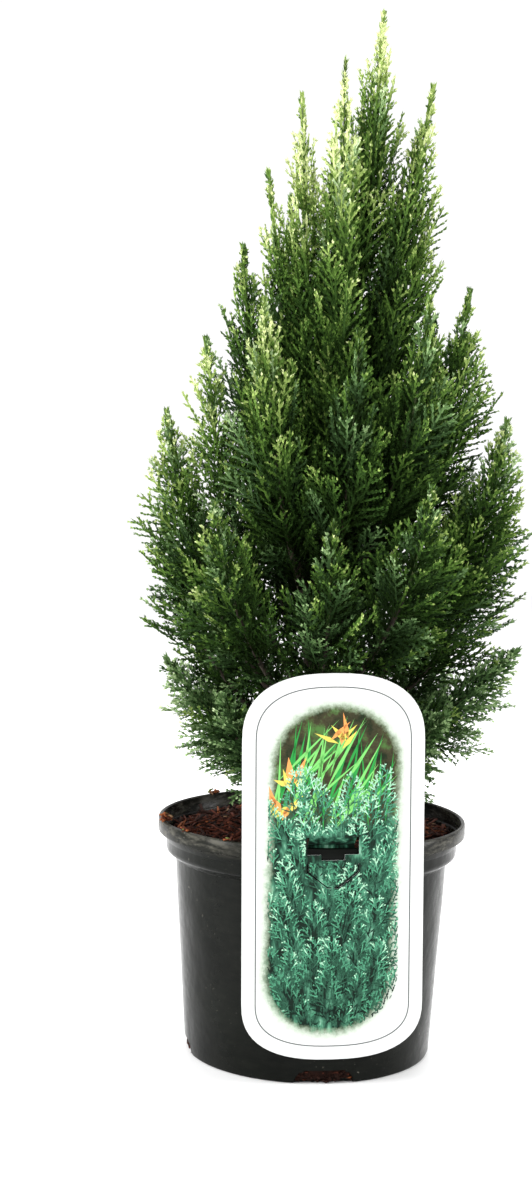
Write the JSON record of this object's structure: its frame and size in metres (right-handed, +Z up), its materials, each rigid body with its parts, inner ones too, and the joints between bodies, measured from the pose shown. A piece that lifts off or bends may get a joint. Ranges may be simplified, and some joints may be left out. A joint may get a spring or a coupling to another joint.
{
  "type": "dwarf lawson cypress in a pot",
  "caption": "Young dwarf conifer with upright feathery plumes of flat scale-leaved sprays, in a round stepped nursery pot of bark compost with a blank plant card hooked over the rim",
  "frame": {"origin": "centre of the flat underside of the pot", "axes": "+Z up along the plant, -Y the front with the card, +X to the right in the front view"},
  "size_m": [0.1655, 0.1666, 0.434],
  "materials": {
    "foliage": "satin scale leaves, creamy yellow-green at the tips",
    "bark": "thin fibrous red-brown bark",
    "pot_plastic": "satin black moulded plastic, dusty",
    "compost": "damp shredded bark",
    "card": "printed white plastic card"
  },
  "bodies": {
    "root": {"bough_flank_back": "bark", "bough_flank_back_left": "bark", "bough_flank_back_right": "bark", "bough_flank_far_back_left": "bark", "bough_flank_far_left": "bark", "bough_flank_far_right": "bark", "bough_flank_front": "bark", "bough_flank_front_left": "bark", "bough_flank_front_right": "bark", "bough_flank_left": "bark", "bough_flank_right": "bark", "bough_flank_spur": "bark", "bough_shoulder_back": "bark", "bough_shoulder_back_left": "bark", "bough_shoulder_back_right": "bark", "bough_shoulder_front": "bark", "bough_shoulder_front_left": "bark", "bough_shoulder_front_right": "bark", "bough_shoulder_left": "bark", "bough_shoulder_right": "bark", "compost": "compost", "foliage_flank_back": "foliage", "foliage_flank_back_left": "foliage", "foliage_flank_back_right": "foliage", "foliage_flank_far_back_left": "foliage", "foliage_flank_far_left": "foliage", "foliage_flank_far_right": "foliage", "foliage_flank_front": "foliage", "foliage_flank_front_left": "foliage", "foliage_flank_front_right": "foliage", "foliage_flank_left": "foliage", "foliage_flank_right": "foliage", "foliage_flank_spur": "foliage", "foliage_leader": "foliage", "foliage_leader_back": "foliage", "foliage_leader_back_left": "foliage", "foliage_leader_back_right": "foliage", "foliage_leader_far_left": "foliage", "foliage_leader_front": "foliage", "foliage_leader_left": "foliage", "foliage_leader_right": "foliage", "foliage_shoulder_back": "foliage", "foliage_shoulder_back_left": "foliage", "foliage_shoulder_back_right": "foliage", "foliage_shoulder_front": "foliage", "foliage_shoulder_front_left": "foliage", "foliage_shoulder_front_right": "foliage", "foliage_shoulder_left": "foliage", "foliage_shoulder_right": "foliage", "foliage_skirt_back": "foliage", "foliage_skirt_back_left": "foliage", "foliage_skirt_back_right": "foliage", "foliage_skirt_front": "foliage", "foliage_skirt_front_left": "foliage", "foliage_skirt_front_right": "foliage", "foliage_skirt_left": "foliage", "foliage_skirt_right": "foliage", "plant_card": "card", "pot": "pot_plastic", "trunk": "bark"}
  },
  "joints": []
}
